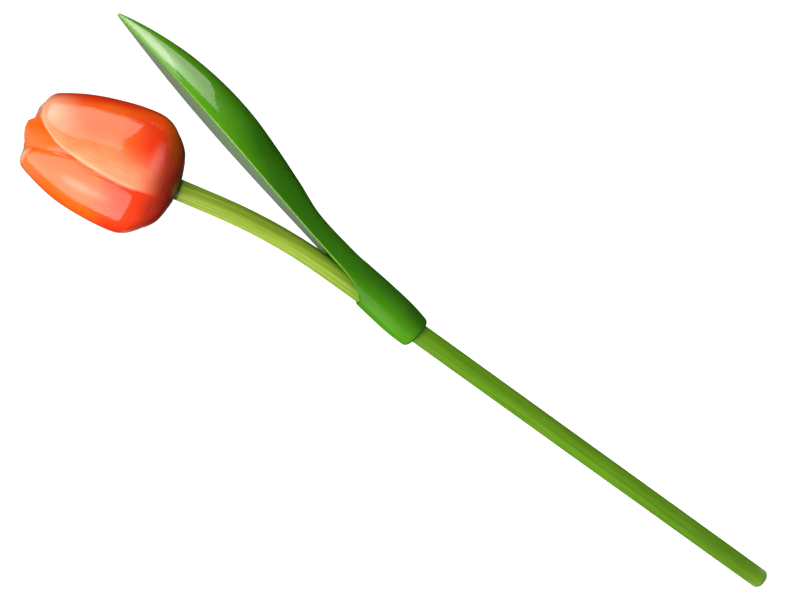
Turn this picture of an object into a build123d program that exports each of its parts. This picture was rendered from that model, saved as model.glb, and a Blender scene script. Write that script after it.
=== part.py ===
from build123d import *
import os
from math import cos, radians, sin, tan

# A wooden tulip in three pieces: a carved flower head, a bent rod for its stem, and a leaf whose
# bored collar sits on the stem. Millimetres, +Z up along the straight part of the stem, with the
# origin at the centre of its cut foot. The head leans to -X and the leaf to +X.

# Stem, one round rod
stem_radius = 4.0
straight_length = 220.0
bend_radius = 215.0
bend_angle = 12.7
neck_length = 16.3
foot_rounding = 1.6

# Flower head, one block with two rings of petals in relief round a hollow crown
head_radius = 22.5
head_offset = 0.2
petal_count = 3
first_petal_heading = -50.0
crown_depth = 12.0
petal_rim_thickness = 3.4
petal_root = 2.0

# Outer petals, each turned about an axis of its own so that one edge stands over the next petal
outer_petal_length = 57.7
outer_petal_width = 42.5
outer_petal_lift = 1.2
outer_petal_skew = 30.0

# Inner petals, seen between the tips of the outer ones
inner_petal_length = 59.3
inner_petal_width = 34.0
inner_petal_inset = 1.5

# Socket for the stem in the base of the head
socket_depth = 18.0
socket_clearance = 0.05
socket_floor_gap = 0.5
socket_mouth_flare = 0.7

# Leaf, a half round blade that grows out of a round collar
leaf_height = 176.6
leaf_length = 161.0
leaf_turn = 5.2
blade_thickness = 13.9
blade_width = 27.0
blade_lean = 13.2
face_inset = 0.3
tip_radius = 0.8
collar_lean = 7.0
collar_offset = -0.6
collar_end_radius = 6.7
collar_rounding = 1.8
collar_radius = 7.45
collar_height = 15.0
collar_side_slope = 0.12
waist_radius = 6.95
waist_height = 40.0
waist_steps = 3
bore_clearance = 0.08

# Height above the collar's lower end where the blade's axis crosses the stem's
blade_crossing = 32.1

# Inner face, hollowed a little along its length, down to the sloping mouth where the stem comes free
face_hollow = 0.7
face_foot_height = 40.4
face_foot_offset = 2.7
mouth_radius = 45.0
mouth_sweep = 16.0
mouth_end_radius = 6.0
mouth_end_sweep = 38.0

# Length by which a cutting shape reaches past what it cuts
overrun = 30.0

# Outer surface of each ring of petals: share of the ring's radius, share of the petal's length
outer_surface_shares = [
    (0.27, 0.0),
    (0.624, 0.057),
    (0.915, 0.187),
    (1.0, 0.352),
    (0.884, 0.669),
    (0.613, 0.926),
    (0.48, 0.985),
]
inner_surface_shares = [(0.27, 0.0), (0.9, 0.18), (1.0, 0.352), (0.88, 0.66), (0.66, 0.88), (0.30, 0.98)]

# Half of a petal's outline below its tip: share of half its width, share of its length
outer_outline_shares = [(0.55, 0.05), (0.92, 0.20), (0.985, 0.48), (0.80, 0.72), (0.50, 0.90)]
inner_outline_shares = [(0.95, 0.45), (0.86, 0.70), (0.58, 0.90)]

# Slopes, as run for each unit of rise: the outer petal's outline at its foot, and a petal's surface
# at its tip
outer_outline_slope = 0.6
petal_tip_slope = -0.7

# Blade above the waist: share of the leaf's length, of its thickness and of half its width
blade_shares = [
    (0.366, 0.62, 0.61),
    (0.454, 0.77, 0.77),
    (0.547, 0.91, 0.92),
    (0.641, 1.0, 1.0),
    (0.734, 0.96, 0.96),
    (0.828, 0.79, 0.78),
    (0.909, 0.52, 0.49),
    (0.965, 0.27, 0.24),
]


def head_place():
    """Where the stem enters the head, with +Z along the head's own axis."""
    angle = radians(bend_angle)
    x = -bend_radius * (1 - cos(angle)) - neck_length * sin(angle)
    z = straight_length + bend_radius * sin(angle) + neck_length * cos(angle)
    return Pos(x, 0, z) * Rot(0, -bend_angle, 0)


def rod(radius, start, end):
    """Upright round rod on the Z axis between two heights."""
    return Pos(0, 0, start) * extrude(Circle(radius), amount=end - start)


def make_stem():
    straight = rod(stem_radius, 0, straight_length)
    straight = fillet(straight.edges().sort_by(Axis.Z)[0], foot_rounding)
    bend_axis = Axis((-bend_radius, 0, straight_length), (0, -1, 0))
    bend = revolve(Pos(0, 0, straight_length) * Circle(stem_radius), bend_axis, bend_angle)
    top = rod(stem_radius, -neck_length, socket_depth - socket_floor_gap)
    return straight + bend + head_place() * top


def turned_bud(radius, length, surface_shares):
    """Bud turned about Z whose side follows the petal surface, with a conical hollow in its crown."""
    side = Spline(
        [(across * radius, up * length) for across, up in surface_shares],
        tangents=[(1, 0), (petal_tip_slope, 1)],
    )
    rise = length - (side @ 1).Y
    lip = side @ 1 + Vector(petal_tip_slope, 1) * (2 * rise)
    rim = lip - Vector(petal_rim_thickness, 0)
    floor = Vector(0, length - crown_depth)
    outline = [side, Line(side @ 1, lip), Line(lip, rim), Line(rim, floor)]
    outline += [Line(floor, (0, 0)), Line((0, 0), side @ 0)]
    return revolve(Plane.XZ * make_face(outline), Axis.Z)


def petal_prism(radius, length, width, outline_shares, first_slope):
    """Prism with the petal's front outline, from just off the head's axis out through its side."""
    points = [(across * width / 2, up * length) for across, up in outline_shares]
    right = Spline(points + [(0, length)], tangents=[(first_slope, 1), (-1, 0)])
    left = mirror(right, Plane.YZ)
    foot = -overrun
    left_foot = ((left @ 0).X, foot)
    right_foot = ((right @ 0).X, foot)
    outline = [right, left, Line(left @ 0, left_foot), Line(left_foot, right_foot)]
    outline += [Line(right_foot, right @ 0)]
    facing = Plane(origin=(petal_root, 0, 0), x_dir=(0, 1, 0), z_dir=(1, 0, 0))
    return extrude(facing * make_face(outline), amount=radius + overrun)


def make_outer_petal():
    skew = radians(-outer_petal_skew)
    shift = Pos(outer_petal_lift * cos(skew), outer_petal_lift * sin(skew), 0)
    length = outer_petal_length
    bud = turned_bud(head_radius, length, outer_surface_shares)
    outline = (outer_petal_width, outer_outline_shares, outer_outline_slope)
    return (shift * bud) & petal_prism(head_radius, length, *outline)


def make_inner_petal():
    radius = head_radius - inner_petal_inset
    length = inner_petal_length
    bud = turned_bud(radius, length, inner_surface_shares)
    return bud & petal_prism(radius, length, inner_petal_width, inner_outline_shares, 0)


def make_head():
    core_radius = head_radius - inner_petal_inset
    core_top = outer_petal_length - crown_depth
    head = turned_bud(core_radius, outer_petal_length, outer_surface_shares)
    head &= rod(head_radius, 0, core_top)
    outer_petal = make_outer_petal()
    inner_petal = make_inner_petal()
    spacing = 360 / petal_count
    for index in range(petal_count):
        heading = first_petal_heading + index * spacing
        head += Rot(0, 0, heading - spacing / 2) * inner_petal
        head += Rot(0, 0, heading) * outer_petal
    head = Pos(-head_offset, 0, 0) * head
    head -= rod(head_radius + overrun, -overrun, 0)
    bore_radius = stem_radius + socket_clearance
    head -= rod(bore_radius, -overrun, socket_depth)
    mouth = Cone(bore_radius + socket_mouth_flare, bore_radius, socket_mouth_flare)
    head -= Pos(0, 0, socket_mouth_flare / 2) * mouth
    return head_place() * head


def axis_offset(height):
    """How far the blade's axis stands from the stem's at a height above the collar's lower end."""
    return (height - blade_crossing) * tan(radians(blade_lean))


def make_collar():
    """Lower part of the collar, turned about its own leaning axis and rounded at its lower end."""
    rounded_radius = collar_end_radius - collar_rounding
    rounding = RadiusArc((collar_end_radius, collar_rounding), (rounded_radius, 0), collar_rounding)
    side = Spline(
        rounding @ 0, (collar_radius, collar_height), tangents=[(collar_side_slope, 1), (0, 1)]
    )
    outline = [rounding, side, Line(side @ 1, (0, collar_height)), Line((0, collar_height), (0, 0))]
    outline += [Line((0, 0), rounding @ 1)]
    return revolve(Plane.XZ * make_face(outline), Axis.Z)


def blade_section(height, thickness, half_width):
    """Section square to the blade, with its middle just outside the flat inner face."""
    place = Pos(axis_offset(height) - collar_offset, 0, height) * Rot(0, blade_lean, 0)
    return place * Pos(face_inset, 0, 0) * Ellipse(thickness - face_inset, half_width)


def make_blade():
    """Whole spindle of waist and blade, before its inner half is cut away."""
    lower = Rot(0, collar_lean, 0)
    sections = []
    for step in range(waist_steps + 1):
        share = step / waist_steps
        height = collar_height + share * (waist_height - collar_height)
        radius = collar_radius + share * (waist_radius - collar_radius)
        sections.append(lower * Pos(0, 0, height) * Circle(radius))
    for up, thick, wide in blade_shares:
        sections.append(blade_section(up * leaf_length, thick * blade_thickness, wide * blade_width / 2))
    sections.append(blade_section(leaf_length, tip_radius, tip_radius))
    return loft(sections)


def make_mouth_cutter():
    """Everything on the stem's side of the flat inner face, down to the rounded foot of the mouth."""
    top = leaf_length + overrun
    tip = Vector(axis_offset(leaf_length), leaf_length)
    foot = Vector(face_foot_offset, face_foot_height)
    middle = (tip + foot) / 2 - Vector(face_hollow, 0)
    face = ThreePointArc(tip, middle, foot)
    mouth = JernArc(foot, face % 1, mouth_radius, -mouth_sweep)
    end = JernArc(mouth @ 1, mouth % 1, mouth_end_radius, -mouth_end_sweep)
    runout = end @ 1 + (end % 1) * overrun
    above = Vector(axis_offset(top), top)
    corner = Vector(runout.X, top)
    outline = [Line(above, tip), face, mouth, end, Line(end @ 1, runout), Line(runout, corner)]
    outline = make_face(outline + [Line(corner, above)])
    return extrude(Plane.XZ * outline, amount=overrun, both=True)


def make_leaf():
    spindle = Rot(0, collar_lean, 0) * make_collar() + make_blade()
    leaf = Pos(collar_offset, 0, 0) * spindle - make_mouth_cutter()
    leaf -= rod(stem_radius + bore_clearance, -overrun, leaf_length)
    return Pos(0, 0, leaf_height) * Rot(0, 0, leaf_turn) * leaf


os.makedirs("parts", exist_ok=True)
for name, piece in [("stem", make_stem()), ("flower_head", make_head()), ("leaf", make_leaf())]:
    export_step(piece, f"parts/{name}.step")
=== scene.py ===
from math import asin, atan2, cos, pi, radians, sin, tan

import bpy
import numpy as np
from bpy.props import FloatProperty, FloatVectorProperty, PointerProperty
from mathutils import Matrix, Vector
from mathutils.bvhtree import BVHTree
from mathutils.interpolate import poly_3d_calc


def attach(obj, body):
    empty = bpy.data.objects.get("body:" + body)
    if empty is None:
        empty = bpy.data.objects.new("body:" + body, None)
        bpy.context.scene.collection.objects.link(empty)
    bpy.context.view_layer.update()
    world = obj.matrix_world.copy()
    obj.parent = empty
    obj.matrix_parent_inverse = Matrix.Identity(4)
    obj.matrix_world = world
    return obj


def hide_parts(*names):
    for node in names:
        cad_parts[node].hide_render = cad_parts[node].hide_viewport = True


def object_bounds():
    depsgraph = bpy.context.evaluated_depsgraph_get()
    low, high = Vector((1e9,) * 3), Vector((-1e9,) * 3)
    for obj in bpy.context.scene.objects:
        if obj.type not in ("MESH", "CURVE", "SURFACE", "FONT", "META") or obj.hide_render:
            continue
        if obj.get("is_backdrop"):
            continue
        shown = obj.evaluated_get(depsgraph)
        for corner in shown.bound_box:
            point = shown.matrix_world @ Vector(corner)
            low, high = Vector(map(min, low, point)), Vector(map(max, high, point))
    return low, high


bl_info = {
    "name": "Wooden Tulip",
    "version": (1, 0, 0),
    "blender": (4, 5, 0),
    "location": "3D View > Sidebar > Tulip",
    "description": "A carved and lacquered wooden tulip with a leaf that slides on its stem",
    "category": "Object",
}

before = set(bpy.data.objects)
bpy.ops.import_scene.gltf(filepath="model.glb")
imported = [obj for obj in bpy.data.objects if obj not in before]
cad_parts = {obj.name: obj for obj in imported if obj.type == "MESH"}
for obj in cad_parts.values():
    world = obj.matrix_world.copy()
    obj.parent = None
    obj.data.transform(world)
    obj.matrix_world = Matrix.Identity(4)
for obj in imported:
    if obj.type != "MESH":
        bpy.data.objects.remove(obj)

MM = 0.001
SANDING_FACTOR = 0.5
SANDING_ROUNDS = 3


# Sizes and colours that a user may change


def paint(red, green, blue):
    """Scene colour of a paint given by its screen values from 0 to 255."""
    screen = (red / 255, green / 255, blue / 255)
    return tuple(c / 12.92 if c <= 0.04045 else ((c + 0.055) / 1.055) ** 2.4 for c in screen)


def colour(name, description, value):
    return FloatVectorProperty(
        name=name, description=description, subtype="COLOR", size=3, min=0, max=1, default=paint(*value)
    )


def length(name, description, millimetres):
    return FloatProperty(
        name=name, description=description, default=millimetres * MM, min=0, unit="LENGTH", precision=5
    )


def strength(name, description, value):
    return FloatProperty(name=name, description=description, default=value, min=0)


class TulipHeadSettings(bpy.types.PropertyGroup):
    """Sizes and colours of the flower head."""

    petal_lift: length("Petal lift", "How far a petal's edge stands over the next petal", 1.2)
    rim_rounding: length("Rim rounding", "Radius of the rounded rim round each petal", 1.0)
    voxel: length("Carving detail", "Size of the smallest detail of the carved surface", 0.26)
    red: colour("Red", "Red lacquer on the covered side of each petal", (246, 58, 8))
    orange: colour("Orange", "Orange lacquer on the middle of each petal", (255, 104, 12))
    # The peach also stands for a painted reflection on the first petal's flank
    peach: colour("Peach", "Pale brush strokes along the edge that stands free", (255, 176, 128))
    rim: colour("Rim", "Pale rim where the lacquer is thin", (255, 210, 176))
    base: colour("Base", "Dark lacquer round the stem", (112, 18, 8))


class TulipLeafSettings(bpy.types.PropertyGroup):
    """Sizes and colours of the leaf."""

    # The arris width and the edge colour make the pale edge line: thin lacquer with a painted highlight
    arris: length("Arris", "Width of the pale line along the blade's edges", 0.42)
    voxel: length("Carving detail", "Size of the smallest detail of the carved surface", 0.33)
    light: colour("Light green", "Lacquer on the collar and towards the tip", (94, 176, 16))
    # The dark green also carries painted shade on the back of the blade
    dark: colour("Dark green", "Lacquer on the back of the blade", (48, 112, 8))
    edge: colour("Edge", "Pale line where the lacquer is thin on the edges", (138, 200, 66))


class TulipStemSettings(bpy.types.PropertyGroup):
    """Colours of the stem."""

    upper: colour("Upper stem", "Yellow green stain above the leaf", (148, 180, 52))
    lower: colour("Lower stem", "Green stain below the leaf", (98, 154, 10))
    streak: colour("Grain", "Darker grain lines in the stain", (66, 106, 8))


class TulipStageSettings(bpy.types.PropertyGroup):
    """Light and colours of the studio round the tulip."""

    floor: colour("Floor", "Colour of the floor", (240, 240, 240))
    lamp: colour("Lamps", "Slightly warm light of the softboxes", (255, 246, 242))
    right_strength: strength("Right softbox", "Brightness of the right softbox and the leaf's own", 2.3)
    left_strength: strength("Left softbox", "Brightness of the left softbox", 2.3)
    fill_strength: strength("Fill", "Brightness of the lamp that fills shadows", 1.0)
    veil_strength: strength("Veil", "Brightness of the soft veil on the head's base", 1.4)
    surroundings: strength("Surroundings", "Brightness of the room", 0.21)


# Curves and meshes


def smooth_curve(points, steps):
    """Points along a smooth curve through the given points, one array row each."""
    known = np.array(points, float)
    ends = np.vstack([2 * known[0] - known[1], known, 2 * known[-1] - known[-2]])
    t = np.linspace(0, 1, steps, endpoint=False)[:, None]
    rows = []
    for a, b, c, d in zip(ends, ends[1:], ends[2:], ends[3:]):
        cubic = 3 * b - a - 3 * c + d
        square = 2 * a - 5 * b + 4 * c - d
        rows.append((cubic * t**3 + square * t**2 + (c - a) * t) / 2 + b)
    return np.vstack(rows + [known[-1:]])


def even_points(curve, count):
    """The same curve with its points an equal distance apart."""
    steps = np.linalg.norm(np.diff(curve, axis=0), axis=1)
    along = np.concatenate([[0], np.cumsum(steps)])
    wanted = np.linspace(0, along[-1], count)
    return np.stack([np.interp(wanted, along, column) for column in curve.T], axis=1)


def smooth_step(low, high, value):
    share = np.clip((value - low) / (high - low), 0, 1)
    return share * share * (3 - 2 * share)


def ring_faces(rings, points):
    """Four-sided faces between neighbouring closed rings, each with the same number of points."""
    faces = []
    for low in range(0, (rings - 1) * points, points):
        for point in range(points):
            after = (point + 1) % points
            faces.append((low + point, low + after, low + points + after, low + points + point))
    return faces


def closed_tube(rings):
    """Closed shell from a list of rings of points, each end filled with one face."""
    count = len(rings[0])
    faces = ring_faces(len(rings), count)
    last = (len(rings) - 1) * count
    faces.append(tuple(reversed(range(count))))
    faces.append(tuple(range(last, last + count)))
    return np.vstack(rings), faces


def turned_rings(profile, count):
    """Rings of points round Z, one for each radius and height of a profile."""
    turns = np.linspace(0, 2 * pi, count, endpoint=False)
    across, along = np.cos(turns), np.sin(turns)
    return [np.stack([r * across, r * along, np.full(count, z)], axis=1) for r, z in profile]


def new_object(name, points, faces):
    """Mesh object in metres from points in millimetres."""
    mesh = bpy.data.meshes.new(name)
    mesh.from_pydata((np.asarray(points) * MM).tolist(), [], faces)
    mesh.validate()
    mesh.update()
    made = bpy.data.objects.new(name, mesh)
    bpy.context.scene.collection.objects.link(made)
    return made


def apply_modifiers(thing):
    """The object's mesh becomes what its modifiers make of it."""
    shown = thing.evaluated_get(bpy.context.evaluated_depsgraph_get())
    mesh = bpy.data.meshes.new_from_object(shown)
    old = thing.data
    thing.modifiers.clear()
    thing.data = mesh
    bpy.data.meshes.remove(old)


def carve(thing, detail):
    """One sanded skin round everything in the object, at the given detail in metres."""
    skin = thing.modifiers.new("Skin", "REMESH")
    skin.mode = "VOXEL"
    skin.voxel_size = detail
    sanding = thing.modifiers.new("Sanding", "SMOOTH")
    sanding.factor = SANDING_FACTOR
    sanding.iterations = SANDING_ROUNDS
    apply_modifiers(thing)
    thing.data.shade_smooth()


def cut_away(thing, *cutters):
    for cutter in cutters:
        cut = thing.modifiers.new("Cut", "BOOLEAN")
        cut.operation = "DIFFERENCE"
        cut.solver = "EXACT"
        cut.object = cutter
    apply_modifiers(thing)
    for cutter in cutters:
        bpy.data.objects.remove(cutter)


def mesh_points(mesh):
    flat = np.zeros(len(mesh.vertices) * 3)
    mesh.vertices.foreach_get("co", flat)
    return flat.reshape(-1, 3)


def carry_over(points, faces, values, target):
    """Values known on one mesh, read at the nearest place on it for each point of the target mesh."""
    places = [Vector(p) for p in points * MM]
    tree = BVHTree.FromPolygons(places, faces)
    carried = np.zeros((len(target.vertices), values.shape[1]))
    for vertex in target.vertices:
        place, _, index, _ = tree.find_nearest(vertex.co)
        corners = faces[index]
        weights = poly_3d_calc([places[c] for c in corners], place)
        carried[vertex.index] = sum(w * values[c] for w, c in zip(weights, corners))
    return carried


def store(mesh, name, values):
    """Keeps four values for each point, which a material reads by name."""
    layer = mesh.attributes.new(name, "FLOAT_COLOR", "POINT")
    layer.data.foreach_set("color", np.asarray(values, np.float32).ravel())


# Flower head: sizes in millimetres, upright on its own axis with the stem's end at the origin


STEM_RADIUS = 4.0
STRAIGHT_LENGTH = 220.0
BEND_RADIUS = 215.0
BEND_ANGLE = radians(12.7)
NECK_LENGTH = 16.3

HEAD_RADIUS = 22.5
HEAD_OFFSET = 0.2
PETAL_COUNT = 3
FIRST_HEADING = -50.0
OUTER_LENGTH = 57.7
SKEW = radians(30)
PETAL_SPAN = 51.0
INNER_LENGTH = 59.3
INNER_INSET = 1.5
RIM_THICKNESS = 3.4
CROWN_DEPTH = 12.0
CROWN_FLOOR_RADIUS = 0.5
BURIED_RADIUS = 7.0
LEAST_WALL = 1.5
CORE_TOP = 45.0
CORE_OVERLAP = 3.0
CORE_INSET_RISE = (4, 18)
SOCKET_RADIUS = 4.2
SOCKET_DEPTH = 18.0
SOCKET_FLARE = 0.8
AXIS_RADIUS = 0.01

# The block is fuller at the girth and leans at the crown, both on the leaf's side. Each rise and
# fall is a pair of heights, and the lean's side a pair of places in X.
HEAD_FULLNESS = 0.035
FULL_RISE = (2, 9)
FULL_FALL = (22, 42)
HEAD_TILT = 1.1
TILT_RISE = (20, 60)
TILT_SIDE = (-12, 6)

# How far an outer petal's covered edge and its foot, and an inner petal's two edges, sink in
OUTER_DIP = 0.5
OUTER_DIP_SPAN = (radians(45), radians(72))
TURN_RISE = (2, 15)
FOOT_TUCK = 0.6
FOOT_TUCK_FALL = (4, 11)
INNER_DIP = 0.9
INNER_DIP_SPAN = (radians(20), radians(58))
INNER_DIP_RISE = (40, 50)

# Mesh of a petal: the height at which degrees become a width, the spine that its rings close in on,
# and the distances of the rings that round its rim
GIRTH_HEIGHT = 20.0
SPINE_PLACE = 2.0
SPINE_FOOT = 6.0
SPINE_TOP = 13.0
RIM_GAPS = [0.0, 0.06, 0.15, 0.3, 0.5, 0.75, 1.0, 1.4, 2.0]
RIM_WIDTH = 2.6
RIM_INSIDE = 0.9
RIM_INSIDE_FADE = 3.0
EDGE_POINTS = 150
FOOT_POINTS = 40
FILL_RINGS = 15
WALL_RINGS = 12
WALL_START = 0.06
ROUND_POINTS = 96
CORE_POINTS = 128

# Side of each ring of petals: share of the ring's radius, share of the petal's length
OUTER_SIDE_SHARES = [
    (0.27, 0.0), (0.65, 0.05), (0.94, 0.187), (1.0, 0.352), (0.89, 0.669), (0.63, 0.926), (0.46, 1.0)
]
INNER_SIDE_SHARES = [
    (0.27, 0.0), (0.9, 0.18), (1.0, 0.352), (0.88, 0.66), (0.66, 0.88), (0.30, 0.985), (0.24, 1.0)
]

# Length of each petal of a ring as a share of its ring's length: no two are carved alike
OUTER_LENGTH_SHARES = (0.98, 0.972, 0.985)
INNER_LENGTH_SHARES = (1.0, 0.965, 0.968)

# How much lower each outer petal's shoulder stands on its covered side, as a share of its length,
# and the degrees from the petal's middle over which it drops
SHOULDER_DROPS = (0.022, 0.0, 0.0)
SHOULDER_SPAN = (0, 45)

# Outline of a petal: degrees round the head from its middle, share of its length. The first edge is
# the one that stands over the next petal.
OUTER_OUTLINE = [
    (-53, 0.04), (-53, 0.2), (-53.5, 0.38), (-51, 0.57), (-47, 0.765), (-40, 0.87), (-28, 0.95),
    (-8, 0.992), (16, 1.0), (38, 0.985), (53, 0.945), (61, 0.88), (68, 0.76), (76, 0.55), (78, 0.3),
    (78, 0.04),
]
INNER_OUTLINE = [
    (-56, 0.3), (-56, 0.6), (-54, 0.84), (-46, 0.93), (-28, 0.98), (0, 1.0), (30, 1.0), (46, 0.988),
    (56, 0.9), (56, 0.6), (56, 0.3),
]


class Side:
    """Side of the bud that a ring of petals follows."""

    def __init__(self, radius, height, shares):
        curve = smooth_curve(shares, 40) * (radius, height)
        self.radii, self.heights = curve.T
        self.height = height

    def radius(self, height):
        return np.interp(height, self.heights, self.radii)


def head_place():
    """Where the stem enters the head, as a matrix in millimetres with +Z along the head's axis."""
    x = -BEND_RADIUS * (1 - cos(BEND_ANGLE)) - NECK_LENGTH * sin(BEND_ANGLE)
    z = STRAIGHT_LENGTH + BEND_RADIUS * sin(BEND_ANGLE) + NECK_LENGTH * cos(BEND_ANGLE)
    return Matrix.Translation((x, 0, z)) @ Matrix.Rotation(-BEND_ANGLE, 4, "Y")


def in_head(points):
    """Points of the upright head, leaned and moved to their place on the stem."""
    points = np.array(points, float)
    height = points[:, 2]
    full = smooth_step(*FULL_RISE, height) * (1 - smooth_step(*FULL_FALL, height))
    points[:, 0] += HEAD_FULLNESS * full * np.clip(points[:, 0], 0, None)
    tilt = HEAD_TILT * smooth_step(*TILT_RISE, height) * smooth_step(*TILT_SIDE, points[:, 0])
    points[:, 0] += tilt - HEAD_OFFSET
    place = np.array(head_place())
    return points @ place[:3, :3].T + place[:3, 3]


def outer_offset(angle, height, lift):
    """How far an outer petal's surface stands off the bud's side at an angle from its middle."""
    turned = lift * np.cos(angle + SKEW) - OUTER_DIP * smooth_step(*OUTER_DIP_SPAN, angle)
    tuck = FOOT_TUCK * (1 - smooth_step(*FOOT_TUCK_FALL, height))
    return turned * smooth_step(*TURN_RISE, height) - tuck


def inner_offset(angle, height, lift):
    """The same for an inner petal, which isn't lifted."""
    return -INNER_DIP * smooth_step(*INNER_DIP_SPAN, np.abs(angle)) * smooth_step(*INNER_DIP_RISE, height)


def inside_radius(side, height, outside):
    """Radius of a petal's inner surface: buried in the core below, and the crown's cone above."""
    cone = (height - side.height + CROWN_DEPTH) / CROWN_DEPTH
    inside = np.clip(cone * (side.radius(side.height) - RIM_THICKNESS), CROWN_FLOOR_RADIUS, None)
    inside = np.where(height < CORE_TOP - CORE_OVERLAP, BURIED_RADIUS, inside)
    return np.minimum(inside, outside - LEAST_WALL)


def petal_rings(edge):
    """Flat rings from a petal's edge in to its spine, each with its distance from the edge."""
    foot = np.linspace(edge[-1], edge[0], FOOT_POINTS)[1:-1]
    outline = np.vstack([edge, foot])
    low, high = outline[:, 1].min(), outline[:, 1].max()
    spine_height = np.clip(outline[:, 1], low + SPINE_FOOT, high - SPINE_TOP)
    spine = np.stack([np.full(len(outline), SPINE_PLACE), spine_height], axis=1)
    inward = spine - outline
    reach = np.linalg.norm(inward, axis=1, keepdims=True)
    inward = inward / reach
    gaps = [np.full(reach.shape, gap) for gap in RIM_GAPS]
    for share in np.linspace(0, 1, FILL_RINGS + 1)[1:]:
        gaps.append(RIM_GAPS[-1] + share * (reach - RIM_GAPS[-1]))
    return [(outline + inward * gap, gap[:, 0]) for gap in gaps]


def petal_shell(side, outline, heading, offset, lift, rounding, number):
    """Closed shell of one petal, and for each point its across, up, rim and number values."""
    girth = side.radius(GIRTH_HEIGHT)
    edge = even_points(smooth_curve(outline, 12) * (girth * pi / 180, side.height), EDGE_POINTS)
    first = edge[0, 0]
    width = edge[-1, 0] - first
    flats = petal_rings(edge)
    rings, values = [], []

    def ring(flat, drop, rim):
        angle = flat[:, 0] / girth
        height = np.clip(flat[:, 1], 0, side.height)
        radius = side.radius(height) + offset(angle, height, lift) - drop
        turn = radians(heading) + angle
        rings.append(np.stack([radius * np.cos(turn), radius * np.sin(turn), height], axis=1))
        across = np.clip((flat[:, 0] - first) / width, 0, 1)
        kept = [across, height / side.height, np.full(len(flat), rim), np.full(len(flat), number)]
        values.append(np.stack(kept, axis=1))
        return radius

    for flat, gap in reversed(flats):
        tucked = np.clip(rounding - gap, 0, None)
        curl = rounding - np.sqrt(np.clip(rounding**2 - tucked**2, 0, None))
        outside = ring(flat, curl, float(np.clip(1 - gap[0] / RIM_WIDTH, 0, 1)))
    rim_line = flats[0][0]
    wall = outside - inside_radius(side, rim_line[:, 1], outside)
    for share in np.linspace(WALL_START, 1, WALL_RINGS):
        rim = float(np.clip(RIM_INSIDE - share * RIM_INSIDE_FADE, 0, 1))
        ring(rim_line, rounding + share * (wall - rounding), rim)
    for flat, _ in flats[3::3]:
        height = np.clip(flat[:, 1], 0, side.height)
        surface = side.radius(height) + offset(flat[:, 0] / girth, height, lift)
        ring(flat, surface - inside_radius(side, height, surface), 0.0)
    points, faces = closed_tube(rings)
    return points, faces, np.vstack(values)


def head_core(side):
    """Closed turned core with the socket for the stem in its base."""
    profile = [(AXIS_RADIUS, SOCKET_DEPTH), (SOCKET_RADIUS, SOCKET_DEPTH)]
    profile += [(SOCKET_RADIUS, SOCKET_FLARE), (SOCKET_RADIUS + SOCKET_FLARE, 0.0)]
    for height in np.linspace(0, CORE_TOP, 40):
        inset = INNER_INSET * float(smooth_step(*CORE_INSET_RISE, height))
        profile.append((float(side.radius(height)) - inset, height))
    profile.append((AXIS_RADIUS, CORE_TOP))
    points, faces = closed_tube(turned_rings(profile, CORE_POINTS))
    values = np.zeros((len(points), 4))
    values[:, 0] = 0.5
    values[:, 1] = points[:, 2] / OUTER_LENGTH
    return points, faces, values


def outer_outline(index):
    """Outline of one outer petal, with its own length and its own shoulder on the covered side."""
    share, drop = OUTER_LENGTH_SHARES[index], SHOULDER_DROPS[index]
    outline = []
    for angle, up in OUTER_OUTLINE:
        lowered = drop * float(smooth_step(*SHOULDER_SPAN, angle))
        outline.append((angle, up * (share - lowered)))
    return outline


def head_shells(lift, rounding):
    """All shells of the head in one list of points, faces and values."""
    outer = Side(HEAD_RADIUS, OUTER_LENGTH, OUTER_SIDE_SHARES)
    inner = Side(HEAD_RADIUS - INNER_INSET, INNER_LENGTH, INNER_SIDE_SHARES)
    spacing = 360 / PETAL_COUNT
    shells = [head_core(outer)]
    for index in range(PETAL_COUNT):
        heading = FIRST_HEADING + index * spacing
        number = (index + 1) / (PETAL_COUNT + 1)
        outline = outer_outline(index)
        shells.append(petal_shell(outer, outline, heading, outer_offset, lift, rounding, number))
        between = heading - spacing / 2
        outline = [(angle, up * INNER_LENGTH_SHARES[index]) for angle, up in INNER_OUTLINE]
        shells.append(petal_shell(inner, outline, between, inner_offset, 0, rounding, 1))
    points, faces, values = [], [], []
    start = 0
    for some_points, some_faces, some_values in shells:
        points.append(in_head(some_points))
        faces += [tuple(corner + start for corner in face) for face in some_faces]
        values.append(some_values)
        start += len(some_points)
    return np.vstack(points), faces, np.vstack(values)


# Leaf: sizes in millimetres, upright on the stem's axis with the collar's lower end at the origin


LEAF_HEIGHT = 176.6
LEAF_LENGTH = 161.0
LEAF_TURN = radians(5.2)
BLADE_THICKNESS = 13.9
BLADE_WIDTH = 27.0
BLADE_LEAN = radians(13.2)
BLADE_CROSSING = 32.1
COLLAR_LEAN = radians(7.0)
COLLAR_OFFSET = -0.6
COLLAR_ROUNDING = 1.8
FACE_INSET = 0.3
FACE_HOLLOW = 0.7
FACE_FOOT = (2.7, 40.4)
MOUTH_RADIUS = 45.0
MOUTH_SWEEP = radians(16)
MOUTH_END_RADIUS = 6.0
MOUTH_END_SWEEP = radians(38)
BORE_CLEARANCE = 0.12
BORE_FLARE = 0.8
OVERRUN = 30.0
TIP_RADIUS = 0.8
FACE_POINTS = 60
LINE_POINTS = 900
MOUTH_STEPS = 16
MOUTH_END_STEPS = 10

# Reach of the shading by the bore and under the collar, and of the arris as shares of its width
BORE_SHADE = (0.1, 0.9)
BORE_SHADE_TOP = (1.5, 3.0)
UNDER_SHADE = 0.85
UNDER_SHADE_TOP = (0.2, 1.1)
ARRIS_FADE = (0.3, 1.4)

# Radius of the collar and waist at heights along their own axis
COLLAR_SIDE = [
    (1.8, 6.7), (6.0, 7.15), (10.5, 7.4), (15.0, 7.45), (23.3, 7.35), (31.7, 7.1), (40.0, 6.95)
]

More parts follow.
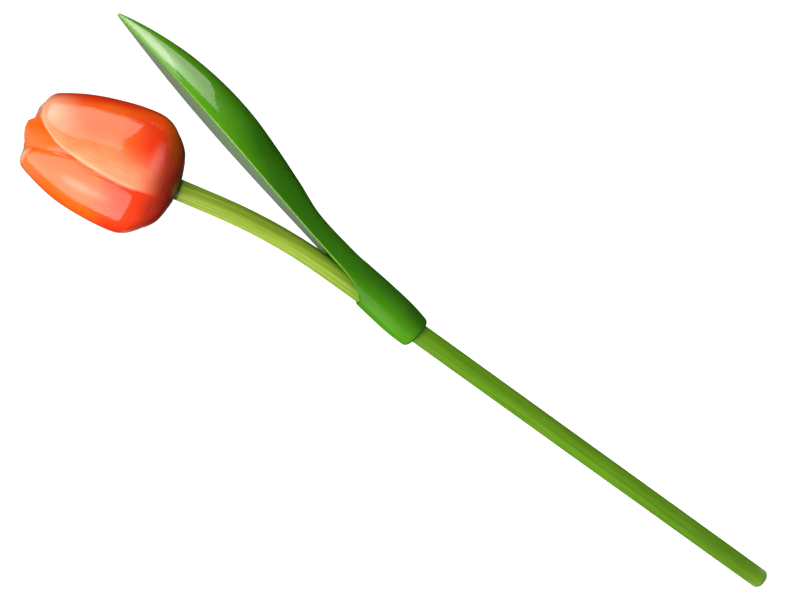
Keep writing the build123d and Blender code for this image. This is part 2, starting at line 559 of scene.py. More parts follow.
# Blade above the waist: share of the leaf's length, of its thickness and of half its width
BLADE_SHARES = [
    (0.366, 0.62, 0.61),
    (0.454, 0.77, 0.77),
    (0.547, 0.91, 0.92),
    (0.641, 1.0, 1.0),
    (0.734, 0.96, 0.96),
    (0.828, 0.79, 0.78),
    (0.909, 0.52, 0.49),
    (0.965, 0.27, 0.24),
]


def axis_offset(height):
    """How far the blade's axis stands from the stem's at a height."""
    return (height - BLADE_CROSSING) * tan(BLADE_LEAN)


def spindle_stations():
    """Middle, lean, thickness and half width of the leaf's sections from the collar to the tip."""
    stations = []
    for along, radius in COLLAR_SIDE:
        x, z = along * sin(COLLAR_LEAN), along * cos(COLLAR_LEAN)
        stations.append((x, z, COLLAR_LEAN, radius, radius))
    for up, thick, wide in BLADE_SHARES + [(1.0, 0, 0)]:
        height = up * LEAF_LENGTH
        thickness = max(thick * BLADE_THICKNESS - FACE_INSET, TIP_RADIUS)
        half_width = max(wide * BLADE_WIDTH / 2, TIP_RADIUS)
        x = axis_offset(height) - COLLAR_OFFSET + FACE_INSET * cos(BLADE_LEAN)
        stations.append((x, height - FACE_INSET * sin(BLADE_LEAN), BLADE_LEAN, thickness, half_width))
    return smooth_curve(stations, 10)


def section_ring(x, z, lean, thickness, half_width):
    turns = np.linspace(0, 2 * pi, ROUND_POINTS, endpoint=False)
    out = thickness * np.cos(turns)
    return np.stack([x + out * cos(lean), half_width * np.sin(turns), z - out * sin(lean)], axis=1)


def leaf_spindle():
    """Closed shell of the whole spindle, rounded at the collar's lower end."""
    stations = spindle_stations()
    rings = []
    x, z, lean, radius, _ = stations[0]
    for turn in np.linspace(pi / 2, 0, 9)[:-1]:
        back = COLLAR_ROUNDING * sin(turn)
        smaller = radius - COLLAR_ROUNDING * (1 - cos(turn))
        rings.append(section_ring(x - back * sin(lean), z - back * cos(lean), lean, smaller, smaller))
    rings += [section_ring(*station) for station in stations]
    return closed_tube(rings)


def arc(start, heading, radius, sweep, steps):
    """Points of an arc that bends to the right of its heading, and the heading at its end."""
    turns = np.linspace(0, sweep, steps + 1)[1:]
    right = heading - pi / 2
    centre = np.array(start) + radius * np.array([cos(right), sin(right)])
    angles = right + pi - turns
    return [centre + radius * np.array([cos(a), sin(a)]) for a in angles], heading - sweep


def face_line():
    """The inner face and the mouth, from the blade's tip down to where the mouth ends."""
    tip = np.array([axis_offset(LEAF_LENGTH), LEAF_LENGTH])
    foot = np.array(FACE_FOOT)
    chord = foot - tip
    half = np.linalg.norm(chord) / 2
    radius = (half**2 + FACE_HOLLOW**2) / (2 * FACE_HOLLOW)
    bend = asin(half / radius)
    heading = atan2(chord[1], chord[0]) - bend
    centre = (tip + foot) / 2 + (radius - FACE_HOLLOW) * np.array([-chord[1], chord[0]]) / (2 * half)
    start = atan2(*(tip - centre)[::-1])
    angles = start + np.linspace(0, 2 * bend, FACE_POINTS)
    face = [centre + radius * np.array([cos(a), sin(a)]) for a in angles]
    mouth, heading = arc(face[-1], heading + 2 * bend, MOUTH_RADIUS, MOUTH_SWEEP, MOUTH_STEPS)
    end, heading = arc(mouth[-1], heading, MOUTH_END_RADIUS, MOUTH_END_SWEEP, MOUTH_END_STEPS)
    runout = end[-1] + OVERRUN * np.array([cos(heading), sin(heading)])
    return face + mouth + end + [runout]


def slab(outline):
    """Closed shell of a flat outline in X and Z, drawn out both ways along Y."""
    outline = np.array(outline)
    rings = []
    for y in (-OVERRUN, OVERRUN):
        rings.append(np.stack([outline[:, 0], np.full(len(outline), y), outline[:, 1]], axis=1))
    return closed_tube(rings)


def bored_rod():
    """Closed rod of the bore's size, flared at the collar's lower end."""
    radius = STEM_RADIUS + BORE_CLEARANCE
    flare = radius + BORE_FLARE
    profile = [(flare, -OVERRUN), (flare, 0), (radius, 2 * BORE_FLARE), (radius, LEAF_LENGTH)]
    return closed_tube(turned_rings(profile, ROUND_POINTS))


# Nodes and effects shared by the materials


def node(tree, kind, inputs=(), **settings):
    """A new node with its settings, and its inputs given as values or as other nodes' outputs."""
    made = tree.nodes.new(kind)
    for name, value in settings.items():
        setattr(made, name, value)
    for key, value in dict(inputs).items():
        if isinstance(value, bpy.types.NodeSocket):
            tree.links.new(value, made.inputs[key])
        else:
            made.inputs[key].default_value = value
    return made


def maths(tree, operation, *values, clamp=False):
    made = node(tree, "ShaderNodeMath", enumerate(values), operation=operation, use_clamp=clamp)
    return made.outputs[0]


def ramp(tree, value, low, high, start=0.0, end=1.0):
    """A smooth step of the value from low to high, which runs from start to end."""
    inputs = {"Value": value, "From Min": low, "From Max": high, "To Min": start, "To Max": end}
    return node(tree, "ShaderNodeMapRange", inputs, interpolation_type="SMOOTHSTEP").outputs["Result"]


def product(tree, value, *others):
    for other in others:
        value = maths(tree, "MULTIPLY", value, other)
    return value


def noise(tree, place, scale, detail=2.0):
    inputs = {"Vector": place, "Scale": scale, "Detail": detail}
    return node(tree, "ShaderNodeTexNoise", inputs).outputs["Fac"]


def rgba(value):
    """A colour with its alpha; an output stays as it is."""
    return value if isinstance(value, bpy.types.NodeSocket) else (*value[:3], 1.0)


def blend(tree, share, first, second):
    """Mix of two colours."""
    inputs = {0: share, 6: rgba(first), 7: rgba(second)}
    return node(tree, "ShaderNodeMix", inputs, data_type="RGBA").outputs[2]


def new_group(name, inputs, outputs):
    """An empty shader node group with named number or vector sockets."""
    tree = bpy.data.node_groups.new(name, "ShaderNodeTree")
    for socket, kind, value in inputs:
        made = tree.interface.new_socket(socket, in_out="INPUT", socket_type="NodeSocket" + kind)
        if value is not None:
            made.default_value = value
    for socket in outputs:
        tree.interface.new_socket(socket, in_out="OUTPUT", socket_type="NodeSocketFloat")
    return tree, tree.nodes.new("NodeGroupInput").outputs, tree.nodes.new("NodeGroupOutput").inputs


def lacquer_ripple_group():
    """Shallow ripple of hand-brushed lacquer, as a height."""
    inputs = [("Vector", "Vector", None), ("Scale", "Float", 90.0), ("Fine", "Float", 0.15)]
    tree, given, out = new_group("Lacquer Ripple", inputs, ["Height"])
    broad = noise(tree, given["Vector"], given["Scale"], 1.0)
    fine = noise(tree, given["Vector"], product(tree, given["Scale"], 5.0))
    tree.links.new(maths(tree, "MULTIPLY_ADD", fine, given["Fine"], broad), out["Height"])
    return tree


def fibre_group():
    """Long thin lines along Z, as in wood grain or brush strokes."""
    inputs = [
        ("Vector", "Vector", None),
        ("Density", "Float", 900.0),
        ("Stretch", "Float", 0.04),
        ("Low", "Float", 0.45),
        ("High", "Float", 0.65),
    ]
    tree, given, out = new_group("Fibre Lines", inputs, ["Mask", "Height"])
    flat = node(tree, "ShaderNodeCombineXYZ", {"X": 1.0, "Y": 1.0, "Z": given["Stretch"]}).outputs[0]
    scaled = {0: given["Vector"], 1: flat}
    drawn = node(tree, "ShaderNodeVectorMath", scaled, operation="MULTIPLY").outputs[0]
    inputs = {"Vector": drawn, "Scale": given["Density"], "Detail": 3.0, "Roughness": 0.65}
    lines = node(tree, "ShaderNodeTexNoise", inputs | {"Distortion": 0.2}).outputs["Fac"]
    tree.links.new(ramp(tree, lines, given["Low"], given["High"]), out["Mask"])
    tree.links.new(lines, out["Height"])
    return tree


def speck_group():
    """Small scattered specks of dust and pits."""
    inputs = [("Vector", "Vector", None), ("Scale", "Float", 600.0), ("Size", "Float", 0.16)]
    tree, given, out = new_group("Specks", inputs, ["Mask"])
    cells = node(tree, "ShaderNodeTexVoronoi", {"Vector": given["Vector"], "Scale": given["Scale"]})
    thin = noise(tree, given["Vector"], 160.0)
    near = ramp(tree, cells.outputs["Distance"], given["Size"], 0.0)
    tree.links.new(product(tree, near, ramp(tree, thin, 0.56, 0.66)), out["Mask"])
    return tree


def effect(tree, group, **inputs):
    """A shared effect placed in a material."""
    return node(tree, "ShaderNodeGroup", inputs, node_tree=bpy.data.node_groups[group]).outputs


def stored(tree, name):
    """The four values that a mesh keeps for each point under a name."""
    kept = node(tree, "ShaderNodeAttribute", attribute_name=name).outputs
    parts = node(tree, "ShaderNodeSeparateColor", {"Color": kept["Color"]}).outputs
    return parts["Red"], parts["Green"], parts["Blue"], kept["Alpha"]


def new_material(name):
    """A material with its node tree, its shader and the object's own coordinates."""
    material = bpy.data.materials.new(name)
    material.use_nodes = True
    tree = material.node_tree
    shader = tree.nodes["Principled BSDF"]
    place = node(tree, "ShaderNodeTexCoord").outputs["Object"]
    return material, tree, shader, place


def bumped(tree, heights):
    """A normal bumped by a list of heights, each with its depth in metres."""
    normal = None
    for height, depth in heights:
        bump = node(tree, "ShaderNodeBump", {"Height": height, "Distance": depth, "Strength": 1.0})
        if normal is not None:
            tree.links.new(normal, bump.inputs["Normal"])
        normal = bump.outputs["Normal"]
    return normal


def bump_both(tree, shader, lacquer, wood):
    """Bumps the paint by the lacquer's and the wood's heights, and the clear coat by the lacquer's."""
    tree.links.new(bumped(tree, lacquer), shader.inputs["Coat Normal"])
    tree.links.new(bumped(tree, lacquer + wood), shader.inputs["Normal"])


def glossy(shader, coat, coat_roughness):
    """Clear lacquer over the paint."""
    shader.inputs["Coat Weight"].default_value = coat
    shader.inputs["Coat Roughness"].default_value = coat_roughness
    shader.inputs["Coat IOR"].default_value = 1.6
    shader.inputs["Specular IOR Level"].default_value = 0.2


# Tones that no setting changes; the first four are painted shade: in the head's socket, on the back of the
# blade, in the bore and under the collar, and on the stem below the head
HEAD_SOCKET_SHADE = paint(24, 8, 5)
BLADE_SHADE = paint(24, 62, 6)
BORE_DARK = paint(12, 26, 6)
STEM_JOINT_SHADOW = paint(16, 30, 8)
CLOTH_DARK = paint(8, 8, 9)
CLOTH_LIGHT = paint(16, 16, 18)
CLOTH_OPENING = paint(238, 255, 226)


def orange_lacquer(settings):
    """Brushed red and orange lacquer with a pale rim, on the flower head."""
    material, tree, shader, place = new_material("orange_lacquer")
    across, up, rim, number = stored(tree, "petal")
    cloud = noise(tree, place, 60.0, 3.0)
    wide = product(tree, across, PETAL_SPAN * MM)
    tall = product(tree, up, OUTER_LENGTH * MM)
    along = node(tree, "ShaderNodeCombineXYZ", {"X": wide, "Y": number, "Z": tall}).outputs[0]
    strokes = effect(tree, "Fibre Lines", Vector=along, Density=2400.0, Stretch=0.045, Low=0.3, High=0.75)
    drag = effect(tree, "Fibre Lines", Vector=along, Density=800.0, Stretch=0.15)["Height"]

    # Red low down and on the covered side, where it reaches farthest on the second petal
    uneven = maths(tree, "MULTIPLY_ADD", maths(tree, "SUBTRACT", cloud, 0.5), 0.3, across)
    early = ramp(tree, number, 0.3, 0.45, 0.1, -0.2)
    late = ramp(tree, number, 0.55, 0.7, 0.0, 0.8)
    covered = maths(tree, "SUBTRACT", uneven, maths(tree, "ADD", early, late))
    tone = blend(tree, ramp(tree, covered, 0.33, 0.5), settings.orange, settings.red)
    reddened = maths(tree, "MULTIPLY_ADD", cloud, 0.2, up)
    tone = blend(tree, ramp(tree, reddened, 0.62, 0.4), tone, settings.red)

    # Peach strokes on the free side and at the crown, strongest on the first petal, whose flank they also
    # give a painted reflection
    front = ramp(tree, number, 0.45, 0.3, 0.25, 1.0)
    free = product(tree, ramp(tree, uneven, 0.36, 0.04), ramp(tree, up, 0.06, 0.3))
    crown = product(tree, ramp(tree, up, 0.74, 0.97), ramp(tree, across, 0.75, 0.45))
    reach = product(tree, maths(tree, "MAXIMUM", free, crown), front)
    shaded = product(tree, ramp(tree, rim, 0.4, 0.9), ramp(tree, up, 0.62, 0.42))
    reach = product(tree, reach, maths(tree, "MULTIPLY_ADD", shaded, -0.5, 1.0))
    # Pale strokes that on the first petal's flank also stand for a painted reflection
    brushed = product(tree, reach, maths(tree, "MULTIPLY_ADD", strokes["Mask"], 0.35, 0.58))
    tone = blend(tree, brushed, tone, settings.peach)

    # Pale upper rims, and lacquer rubbed off the top of the third petal
    pale_rim = product(tree, ramp(tree, rim, 0.7, 1.0), ramp(tree, up, 0.6, 0.9), ramp(tree, across, 0.6, 0.45))
    pale_rim = maths(tree, "MULTIPLY", pale_rim, maths(tree, "MULTIPLY_ADD", cloud, 0.9, 0.3), clamp=True)
    pale_rim = maths(tree, "MAXIMUM", pale_rim, product(tree, crown, front, 0.24))
    tone = blend(tree, pale_rim, tone, settings.rim)
    third = product(tree, ramp(tree, number, 0.6, 0.7), ramp(tree, number, 0.9, 0.8))
    rubbed = product(tree, ramp(tree, up, 0.93, 0.985), ramp(tree, rim, 0.2, 0.8, 0.0, 0.75), third)
    tone = blend(tree, rubbed, tone, settings.rim)

    # Dark base, painted shade in the socket and the seam round the stem, and specks
    low = maths(tree, "MULTIPLY_ADD", cloud, 0.12, up)
    tone = blend(tree, ramp(tree, low, 0.34, 0.08), tone, settings.base)
    # Painted shade where the stem enters the head
    tone = blend(tree, ramp(tree, up, 0.035, 0.005), tone, HEAD_SOCKET_SHADE)
    specks = effect(tree, "Specks", Vector=place, Scale=700.0, Size=0.2)["Mask"]
    tone = blend(tree, product(tree, specks, 0.35), tone, settings.rim)
    tree.links.new(tone, shader.inputs["Base Color"])

    ripple = effect(tree, "Lacquer Ripple", Vector=place, Scale=110.0, Fine=0.16)["Height"]
    tree.links.new(ramp(tree, cloud, 0.2, 0.8, 0.3, 0.42), shader.inputs["Roughness"])
    bump_both(tree, shader, [(ripple, 0.00016), (drag, 0.00005)], [(strokes["Height"], 0.00003)])
    glossy(shader, 1.0, 0.03)
    tree.links.new(ramp(tree, up, 0.03, 0.24), shader.inputs["Coat Weight"])
    return material


def green_lacquer(settings):
    """Green gloss lacquer on the leaf, paler on the collar, with a painted highlight on its edges and
    painted shade on its back.
    """
    material, tree, shader, place = new_material("green_lacquer")
    up, out, arris, shade = stored(tree, "leaf")
    cloud = noise(tree, place, 45.0, 4.0)
    grain = effect(tree, "Fibre Lines", Vector=place, Density=700.0, Stretch=0.05, Low=0.4, High=0.75)

    # Light on the collar and towards the tip, with painted shade that darkens the back of the blade and the
    # collar
    collar = ramp(tree, up, 0.34, 0.04, 0.0, 0.5)
    light = maths(tree, "ADD", collar, product(tree, ramp(tree, up, 0.4, 0.8), 0.9))
    light = maths(tree, "SUBTRACT", light, product(tree, out, 0.65), clamp=True)
    light = maths(tree, "MULTIPLY_ADD", maths(tree, "SUBTRACT", cloud, 0.5), 0.4, light, clamp=True)
    tone = blend(tree, light, settings.dark, settings.light)
    # More painted shade on the back of the blade, strongest below its middle
    far = product(tree, ramp(tree, out, 0.35, 1.0), ramp(tree, up, 0.72, 0.42, 0.0, 0.55))
    tone = blend(tree, far, tone, BLADE_SHADE)
    tone = blend(tree, product(tree, grain["Mask"], 0.18), tone, settings.dark)

    # Pale edges of the blade, thin lacquer with a painted highlight, the painted shade by the bore and
    # under the collar, and specks
    # Painted highlight along the edges, where the lacquer is also thin
    pale = product(tree, arris, ramp(tree, up, 0.18, 0.27, 0.0, 0.7))
    tone = blend(tree, pale, tone, settings.edge)
    tone = blend(tree, shade, tone, BORE_DARK)
    specks = effect(tree, "Specks", Vector=place, Scale=520.0, Size=0.16)["Mask"]
    tone = blend(tree, product(tree, specks, 0.3), tone, settings.edge)
    tree.links.new(tone, shader.inputs["Base Color"])

    ripple = effect(tree, "Lacquer Ripple", Vector=place, Scale=80.0, Fine=0.2)["Height"]
    tree.links.new(ramp(tree, cloud, 0.2, 0.8, 0.2, 0.3), shader.inputs["Roughness"])
    bump_both(tree, shader, [(ripple, 0.00014)], [(grain["Height"], 0.00002)])
    glossy(shader, 1.0, 0.03)
    tree.links.new(ramp(tree, up, 0.22, 0.42), shader.inputs["Coat Weight"])
    return material


# Places along the stem in metres from the bend's start: where it darkens at its foot, where a shadow is
# painted on it below the head, and where the lower stain gives way to the upper
FOOT_PLACE = -STRAIGHT_LENGTH * MM
FOOT_SHADE = (FOOT_PLACE + 0.0022, FOOT_PLACE + 0.0008)
JOINT_PLACE = (BEND_RADIUS * BEND_ANGLE + NECK_LENGTH) * MM
JOINT_SHADE = (JOINT_PLACE - 0.0018, JOINT_PLACE - 0.0004)
COLOUR_CHANGE = (-0.03, 0.0)


def bent_place(tree, place):
    """Coordinates that follow the rod round its bend, with Z along it from the bend's start."""
    x, y, z = node(tree, "ShaderNodeSeparateXYZ", {0: place}).outputs
    over = maths(tree, "SUBTRACT", z, STRAIGHT_LENGTH * MM)
    out = maths(tree, "ADD", x, BEND_RADIUS * MM)
    square = maths(tree, "MULTIPLY_ADD", over, over, product(tree, out, out))
    round_x = maths(tree, "SUBTRACT", maths(tree, "SQRT", square), BEND_RADIUS * MM)
    round_z = product(tree, maths(tree, "ARCTAN2", over, out), BEND_RADIUS * MM)
    bent = maths(tree, "GREATER_THAN", over, 0.0)
    along_x = maths(tree, "MULTIPLY_ADD", bent, maths(tree, "SUBTRACT", round_x, x), x)
    along_z = maths(tree, "MULTIPLY_ADD", bent, maths(tree, "SUBTRACT", round_z, over), over)
    return node(tree, "ShaderNodeCombineXYZ", {"X": along_x, "Y": y, "Z": along_z}).outputs[0], along_z


def stained_stem(settings):
    """Green stain with the grain showing, under satin lacquer."""
    material, tree, shader, place = new_material("stained_stem")
    along, height = bent_place(tree, place)
    fine = effect(tree, "Fibre Lines", Vector=along, Density=1500.0, Stretch=0.012, Low=0.45, High=0.6)
    broad = effect(tree, "Fibre Lines", Vector=along, Density=800.0, Stretch=0.02)
    cloud = noise(tree, along, 40.0, 3.0)
    tone = blend(tree, ramp(tree, height, *COLOUR_CHANGE), settings.lower, settings.upper)
    grained = product(tree, broad["Mask"], ramp(tree, height, *COLOUR_CHANGE, 0.14, 0.1))
    tone = blend(tree, grained, tone, settings.streak)
    tone = blend(tree, product(tree, fine["Mask"], 0.42), tone, settings.streak)
    pale = product(tree, ramp(tree, cloud, 0.5, 0.75), 0.12)
    tone = blend(tree, pale, tone, settings.upper)
    tone = blend(tree, ramp(tree, height, *FOOT_SHADE, 0.0, 0.6), tone, settings.streak)
    # Painted shadow on the stem just below the head
    tone = blend(tree, ramp(tree, height, *JOINT_SHADE, 0.0, 0.9), tone, STEM_JOINT_SHADOW)
    specks = effect(tree, "Specks", Vector=along, Scale=800.0, Size=0.2)["Mask"]
    tone = blend(tree, product(tree, specks, 0.5), tone, settings.streak)
    tree.links.new(tone, shader.inputs["Base Color"])
    ripple = effect(tree, "Lacquer Ripple", Vector=along, Scale=260.0, Fine=0.3)["Height"]
    tree.links.new(ramp(tree, cloud, 0.2, 0.8, 0.38, 0.52), shader.inputs["Roughness"])
    bump_both(tree, shader, [(ripple, 0.00006)], [(fine["Height"], 0.00002), (broad["Height"], 0.00003)])
    glossy(shader, 0.14, 0.25)
    return material


# Stage, in metres: floor with a low rise round it, black cloth, softboxes and the camera


CENTRE_RADIUS = 0.0001
FLOOR_RADIUS = 2.2
COVE_RADIUS = 0.5
CLOTH_RADIUS = 1.1
CLOTH_HEIGHT = 1.4
CLOTH_LIFT = 0.002
CLOTH_HOLE = 0.008
CAMERA_PLACE = (0.00622, -0.70210, 0.35174)
CAMERA_RIGHT = (0.58549, -0.18236, -0.78990)
CAMERA_UP = (0.81068, 0.13171, 0.57048)
CAMERA_LENS = 85.0
HEAD_MIDDLE = (-0.010, -0.010, 0.305)
# Each softbox: direction from the flower head, width and height, distance, the place and radius of
# its bright core as shares of its size, the core's gain, and the share of light left at its edge
RIGHT_BOX = ((0.659, -0.422, 0.622), (0.90, 0.51), 0.621, (0.50, 0.86), 0.45, 0.8, 1.0)
LEFT_BOX = ((-0.889, -0.444, 0.112), (0.64, 0.51), 0.402, (0.50, 0.48), 0.26, 1.6, 1.0)
LEAF_BOX = ((0.896, -0.376, 0.237), (0.93, 0.61), 0.793, (0.28, 0.66), 0.55, 1.5, 1.0)
VEIL_BOX = ((0.62, -0.47, -0.63), (0.44, 0.36), 0.26, (0.5, 0.5), 0.50, 0.0, 0.0)
FILL_BOX = ((-0.45, -0.80, 0.40), (0.90, 0.90), 1.00, (0.5, 0.5), 0.30, 0.0, 1.0)


def floor_material(settings):
    """Pale floor that looks white to the camera and in reflections, and keeps the tulip's shadow."""
    material, tree, shader, place = new_material("studio_floor")
    lighter = tuple(min(1.0, c * 1.04) for c in settings.floor)
    tone = blend(tree, noise(tree, place, 3.0, 3.0), settings.floor, lighter)
    tree.links.new(tone, shader.inputs["Base Color"])
    shader.inputs["Roughness"].default_value = 0.9
    shader.inputs["Specular IOR Level"].default_value = 0.1
    rays = node(tree, "ShaderNodeLightPath").outputs
    seen = maths(tree, "ADD", rays["Is Camera Ray"], rays["Is Glossy Ray"], clamp=True)
    seen = maths(tree, "ADD", seen, rays["Is Transmission Ray"], clamp=True)
    away = node(tree, "ShaderNodeVectorMath", {0: place}, operation="LENGTH").outputs["Value"]
    glow = product(tree, seen, ramp(tree, away, 0.05, 0.6, 0.72, 1.0))
    grey = node(tree, "ShaderNodeCombineColor", {0: glow, 1: glow, 2: glow}).outputs[0]
    tree.links.new(grey, shader.inputs["Emission Color"])
    shader.inputs["Emission Strength"].default_value = 1.0
    return material


def cloth_material():
    """Black cloth with a faint weave, and a grey opening in it behind the tulip."""
    material, tree, shader, place = new_material("black_cloth")
    tone = blend(tree, noise(tree, place, 400.0), CLOTH_DARK, CLOTH_LIGHT)
    tree.links.new(tone, shader.inputs["Base Color"])
    x, y, _ = node(tree, "ShaderNodeSeparateXYZ", {0: place}).outputs
    middle = product(tree, ramp(tree, x, 0.25, 0.08), ramp(tree, x, -0.5, -0.32))
    glow = product(tree, ramp(tree, y, 0.45, 0.7, 0.0, 0.3), middle)
    shown = blend(tree, glow, (0, 0, 0), CLOTH_OPENING)
    tree.links.new(shown, shader.inputs["Emission Color"])
    shader.inputs["Emission Strength"].default_value = 1.0
    shader.inputs["Roughness"].default_value = 1.0
    shader.inputs["Specular IOR Level"].default_value = 0.0
    return material


def turned_sheet(name, profile):
    """Sheet turned about Z through the points of a profile in metres."""
    rings = turned_rings(profile, ROUND_POINTS)
    made = new_object(name, np.vstack(rings) / MM, ring_faces(len(rings), ROUND_POINTS))
    made.data.shade_smooth()
    return made


def cove(name):
    """Round floor whose edge rises in a quarter circle and on to a low upright wall."""
    profile = [(radius, 0.0) for radius in (CENTRE_RADIUS, 0.3, 1.0, FLOOR_RADIUS)]
    for turn in np.linspace(0, pi / 2, 10)[1:]:
        profile.append((FLOOR_RADIUS + COVE_RADIUS * sin(turn), COVE_RADIUS * (1 - cos(turn))))
    profile.append((FLOOR_RADIUS + COVE_RADIUS, 2 * COVE_RADIUS))
    return turned_sheet(name, profile)


def black_cloth(name):
    """Cloth on the floor, round the sides and overhead, which only reflections see."""
    profile = [(CLOTH_HOLE, CLOTH_LIFT), (CLOTH_RADIUS, CLOTH_LIFT)]
    profile += [(CLOTH_RADIUS, CLOTH_HEIGHT), (CENTRE_RADIUS, CLOTH_HEIGHT)]
    made = turned_sheet(name, profile)
    made.visible_camera = False
    made.visible_diffuse = False
    made.visible_transmission = False
    made.visible_shadow = False
    return made


def softbox(name, box, tint, radiance):
    """Lamp that faces the flower head, with its brightness as seen from there."""
    direction, size, distance, core, radius, gain, edge = box
    lamp = bpy.data.lights.new(name, "AREA")
    lamp.shape = "RECTANGLE"
    lamp.size, lamp.size_y = size
    lamp.energy = radiance * pi * size[0] * size[1]
    lamp.color = tint
    lamp.use_nodes = True
    tree = lamp.node_tree
    place = node(tree, "ShaderNodeNewGeometry").outputs["Parametric"]
    ends = {0: place, 1: (*core, 0.0)}
    away = node(tree, "ShaderNodeVectorMath", ends, operation="DISTANCE").outputs["Value"]
    brightness = ramp(tree, away, radius, 0.0, edge, 1.0 + gain)
    tree.links.new(brightness, tree.nodes["Emission"].inputs["Strength"])
    made = bpy.data.objects.new(name, lamp)
    way = Vector(direction).normalized()
    side = Vector((0, 0, 1)).cross(way).normalized()
    turned = Matrix((side, way.cross(side), way)).transposed()
    made.matrix_world = Matrix.Translation(Vector(HEAD_MIDDLE) + way * distance) @ turned.to_4x4()
    made.visible_camera = False
    bpy.context.scene.collection.objects.link(made)
    return made


def light_only(lamp, name):
    """The lamp shows in the reflections of one piece, and lights nothing else."""
    lamp.visible_diffuse = False
    receivers = bpy.data.collections.new(lamp.name + "_receivers")
    receivers.objects.link(bpy.data.objects[name])
    lamp.light_linking.receiver_collection = receivers


def make_camera():
    data = bpy.data.cameras.new("camera")
    data.lens = CAMERA_LENS
    data.sensor_width = 36.0
    data.sensor_fit = "HORIZONTAL"
    data.clip_start = 0.01
    camera = bpy.data.objects.new("camera", data)
    right, up = Vector(CAMERA_RIGHT), Vector(CAMERA_UP)
    back = right.cross(up)
    turned = Matrix((right, up, back)).transposed()
    camera.matrix_world = Matrix.Translation(CAMERA_PLACE) @ turned.to_4x4()
    bpy.context.scene.collection.objects.link(camera)
    bpy.context.scene.camera = camera


# Operators


class TULIP_OT_effects(bpy.types.Operator):
    """Make the effects that the lacquers share"""

    bl_idname = "tulip.effects"
    bl_label = "Shared Effects"

    def execute(self, context):
        lacquer_ripple_group()
        fibre_group()
        speck_group()
        return {"FINISHED"}


class TULIP_OT_flower_head(bpy.types.Operator):
    """Carve the flower head and lacquer it"""

    bl_idname = "tulip.flower_head"
    bl_label = "Flower Head"

    def execute(self, context):
        settings = context.scene.tulip_head
        points, faces, values = head_shells(settings.petal_lift / MM, settings.rim_rounding / MM)
        head = new_object("carved_head", points, faces)
        carve(head, settings.voxel)
        store(head.data, "petal", carry_over(points, faces, values, head.data))
        head.data.materials.append(orange_lacquer(settings))
        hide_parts("flower_head")
        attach(head, "flower")
        return {"FINISHED"}


class TULIP_OT_leaf(bpy.types.Operator):
    """Carve the leaf with its bored collar and lacquer it"""

    bl_idname = "tulip.leaf"
    bl_label = "Leaf"

    def execute(self, context):
        settings = context.scene.tulip_leaf
        points, faces = leaf_spindle()
        points[:, 0] += COLLAR_OFFSET
        leaf = new_object("carved_leaf", points, faces)
        line = face_line()
        top = LEAF_LENGTH + OVERRUN
        above = np.array([axis_offset(top), top])
        cutter = slab([above] + line + [np.array([line[-1][0], top])])
        cut_away(leaf, new_object("cutter", *cutter), new_object("bore", *bored_rod()))
        carve(leaf, settings.voxel)
        self.store_values(leaf.data, points, faces, line, settings.arris / MM)
        turn = Matrix.Translation((0, 0, LEAF_HEIGHT * MM)) @ Matrix.Rotation(LEAF_TURN, 4, "Z")
        leaf.data.transform(turn)
        leaf.data.materials.append(green_lacquer(settings))
        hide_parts("leaf")
        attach(leaf, "leaf")
        return {"FINISHED"}

    def store_values(self, mesh, points, faces, line, width):
        """Keeps how far up and out each point is, and whether it lies on an edge or in the shade."""
        places = mesh_points(mesh) / MM
        x, z = places[:, 0], places[:, 2]
        tree = BVHTree.FromPolygons([Vector(p) for p in points], faces)
        skin = np.array([tree.find_nearest(Vector(p))[3] for p in places])
        drawn = even_points(np.array(line), LINE_POINTS)
        face = np.array([np.hypot(drawn[:, 0] - a, drawn[:, 1] - b).min() for a, b in zip(x, z)])
        edge, far = ARRIS_FADE
        arris = 1 - smooth_step(edge * width, far * width, np.hypot(skin, face))
        up = z / LEAF_LENGTH
        out = np.clip((x - axis_offset(z)) / BLADE_THICKNESS, 0, 1)
        bore = 1 - smooth_step(*BORE_SHADE, np.hypot(x, places[:, 1]) - STEM_RADIUS - BORE_CLEARANCE)
        bore = bore * (1 - smooth_step(*BORE_SHADE_TOP, z))
        along = (x - COLLAR_OFFSET) * sin(COLLAR_LEAN) + z * cos(COLLAR_LEAN)
        under = UNDER_SHADE * (1 - smooth_step(*UNDER_SHADE_TOP, along))
        store(mesh, "leaf", np.stack([up, out, arris, np.maximum(bore, under)], axis=1))


class TULIP_OT_stem(bpy.types.Operator):
    """Stain and lacquer the stem"""

    bl_idname = "tulip.stem"
    bl_label = "Stem"

    def execute(self, context):
        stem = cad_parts["stem"]
        stem.data.materials.clear()
        stem.data.materials.append(stained_stem(context.scene.tulip_stem))
        return {"FINISHED"}


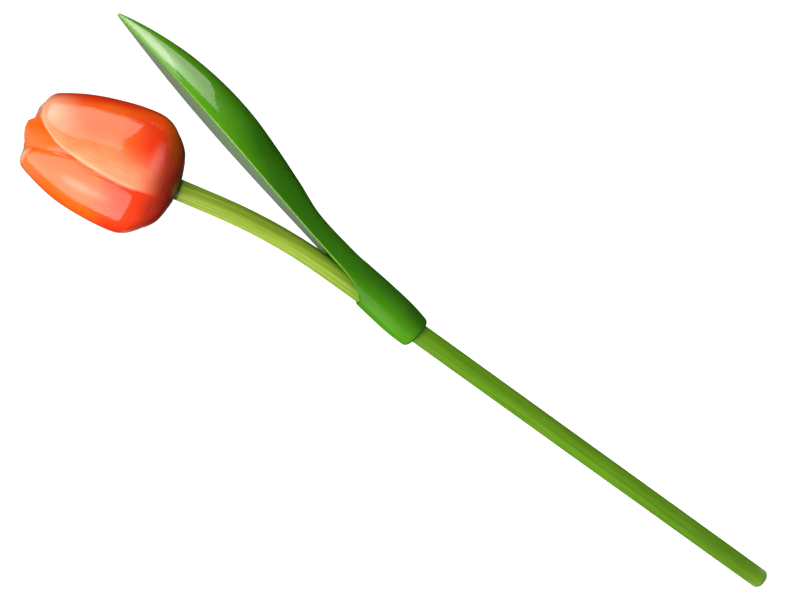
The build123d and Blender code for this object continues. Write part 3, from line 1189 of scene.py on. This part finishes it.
class TULIP_OT_stage(bpy.types.Operator):
    """Set up the floor, the lights and the camera"""

    bl_idname = "tulip.stage"
    bl_label = "Stage"

    def execute(self, context):
        settings = context.scene.tulip_stage
        floor = cove("studio_floor")
        floor.data.materials.append(floor_material(settings))
        cloth = black_cloth("black_cloth")
        cloth.data.materials.append(cloth_material())
        floor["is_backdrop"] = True
        cloth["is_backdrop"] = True
        softbox("right_softbox", RIGHT_BOX, settings.lamp, settings.right_strength)
        softbox("left_softbox", LEFT_BOX, settings.lamp, settings.left_strength)
        fill = softbox("fill_softbox", FILL_BOX, settings.lamp, settings.fill_strength)
        fill.visible_glossy = False
        for_leaf = softbox("leaf_softbox", LEAF_BOX, settings.lamp, settings.right_strength)
        light_only(for_leaf, "carved_leaf")
        veil = softbox("veil_softbox", VEIL_BOX, settings.lamp, settings.veil_strength)
        light_only(veil, "carved_head")
        world = bpy.data.worlds.new("studio_room")
        world.use_nodes = True
        room = world.node_tree.nodes["Background"]
        room.inputs["Strength"].default_value = settings.surroundings
        room.inputs["Color"].default_value = (1, 1, 1, 1)
        context.scene.world = world
        context.scene.view_settings.view_transform = "Standard"
        make_camera()
        return {"FINISHED"}


class TULIP_PT_panel(bpy.types.Panel):
    """Makes each piece of the wooden tulip and lists its settings"""

    bl_idname = "TULIP_PT_panel"
    bl_label = "Wooden Tulip"
    bl_space_type = "VIEW_3D"
    bl_region_type = "UI"
    bl_category = "Tulip"

    def draw(self, context):
        layout = self.layout
        layout.operator(TULIP_OT_effects.bl_idname)
        groups = [
            (TULIP_OT_flower_head, context.scene.tulip_head),
            (TULIP_OT_leaf, context.scene.tulip_leaf),
            (TULIP_OT_stem, context.scene.tulip_stem),
            (TULIP_OT_stage, context.scene.tulip_stage),
        ]
        for operator, settings in groups:
            box = layout.box()
            box.operator(operator.bl_idname)
            for name in settings.__annotations__:
                box.prop(settings, name)


SETTINGS = {
    "tulip_head": TulipHeadSettings,
    "tulip_leaf": TulipLeafSettings,
    "tulip_stem": TulipStemSettings,
    "tulip_stage": TulipStageSettings,
}
OPERATORS = [TULIP_OT_effects, TULIP_OT_flower_head, TULIP_OT_leaf, TULIP_OT_stem, TULIP_OT_stage]


def register():
    for made in [*SETTINGS.values(), *OPERATORS, TULIP_PT_panel]:
        bpy.utils.register_class(made)
    for name, group in SETTINGS.items():
        setattr(bpy.types.Scene, name, PointerProperty(type=group))


def unregister():
    for name in SETTINGS:
        delattr(bpy.types.Scene, name)
    for made in reversed([*SETTINGS.values(), *OPERATORS, TULIP_PT_panel]):
        bpy.utils.unregister_class(made)


def corners():
    """The shown object's lowest and highest corners as plain lists."""
    return [list(corner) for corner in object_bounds()]


def main():
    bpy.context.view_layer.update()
    register()
    bpy.ops.tulip.effects()
    bpy.ops.tulip.flower_head()
    bpy.ops.tulip.leaf()
    bpy.ops.tulip.stem()
    bpy.ops.tulip.stage()


if __name__ == "__main__":
    main()
